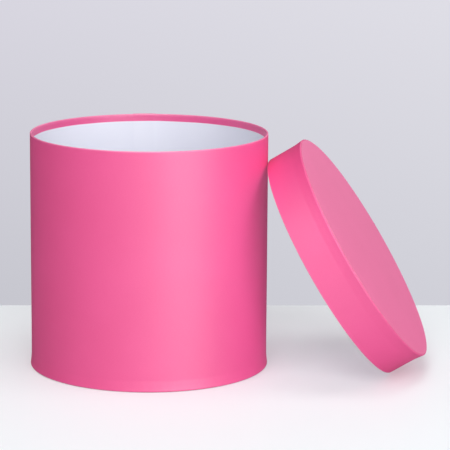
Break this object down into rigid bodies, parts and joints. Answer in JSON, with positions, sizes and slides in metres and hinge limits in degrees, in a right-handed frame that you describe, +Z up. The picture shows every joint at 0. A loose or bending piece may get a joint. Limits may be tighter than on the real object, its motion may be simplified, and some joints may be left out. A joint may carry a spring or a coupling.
{
  "type": "flower box",
  "caption": "Round cardboard flower box covered in pink paper and lined in white, with its shallow lift-off lid leaning against the wall.",
  "frame": {"origin": "centre of the box's underside, on the table", "axes": "+Z up along the box's axis; the lid leans on the +X side of the wall and stands on the table; the paper seams are at +Y, the back"},
  "size_m": [0.3378, 0.2173, 0.1993],
  "materials": {
    "pink_paper": "matte coloured wrapping paper",
    "pink_card": "matte coloured card",
    "white_paper": "uncoated white paper",
    "greyboard": "raw greyboard",
    "linen_tape": "gummed linen tape",
    "kraft_tape": "gummed kraft tape"
  },
  "bodies": {
    "box": {"wall_board": "greyboard", "wall_joint_tape": "kraft_tape", "base_board": "greyboard", "base_edge_tape": "linen_tape", "outer_wrap": "pink_paper", "base_cover": "pink_card", "wall_lining": "white_paper", "base_lining": "white_paper"},
    "lid": {"lid_band_board": "greyboard", "lid_joint_tape": "kraft_tape", "lid_disc_board": "greyboard", "lid_edge_tape": "linen_tape", "lid_wrap": "pink_paper", "lid_top_cover": "pink_card", "lid_band_lining": "white_paper", "lid_disc_lining": "white_paper"}
  },
  "joints": [
    {"name": "lid_lift", "type": "slide", "parent": "box", "child": "lid", "axis": [0, 0, 1], "range_m": [0, 0.23]}
  ]
}
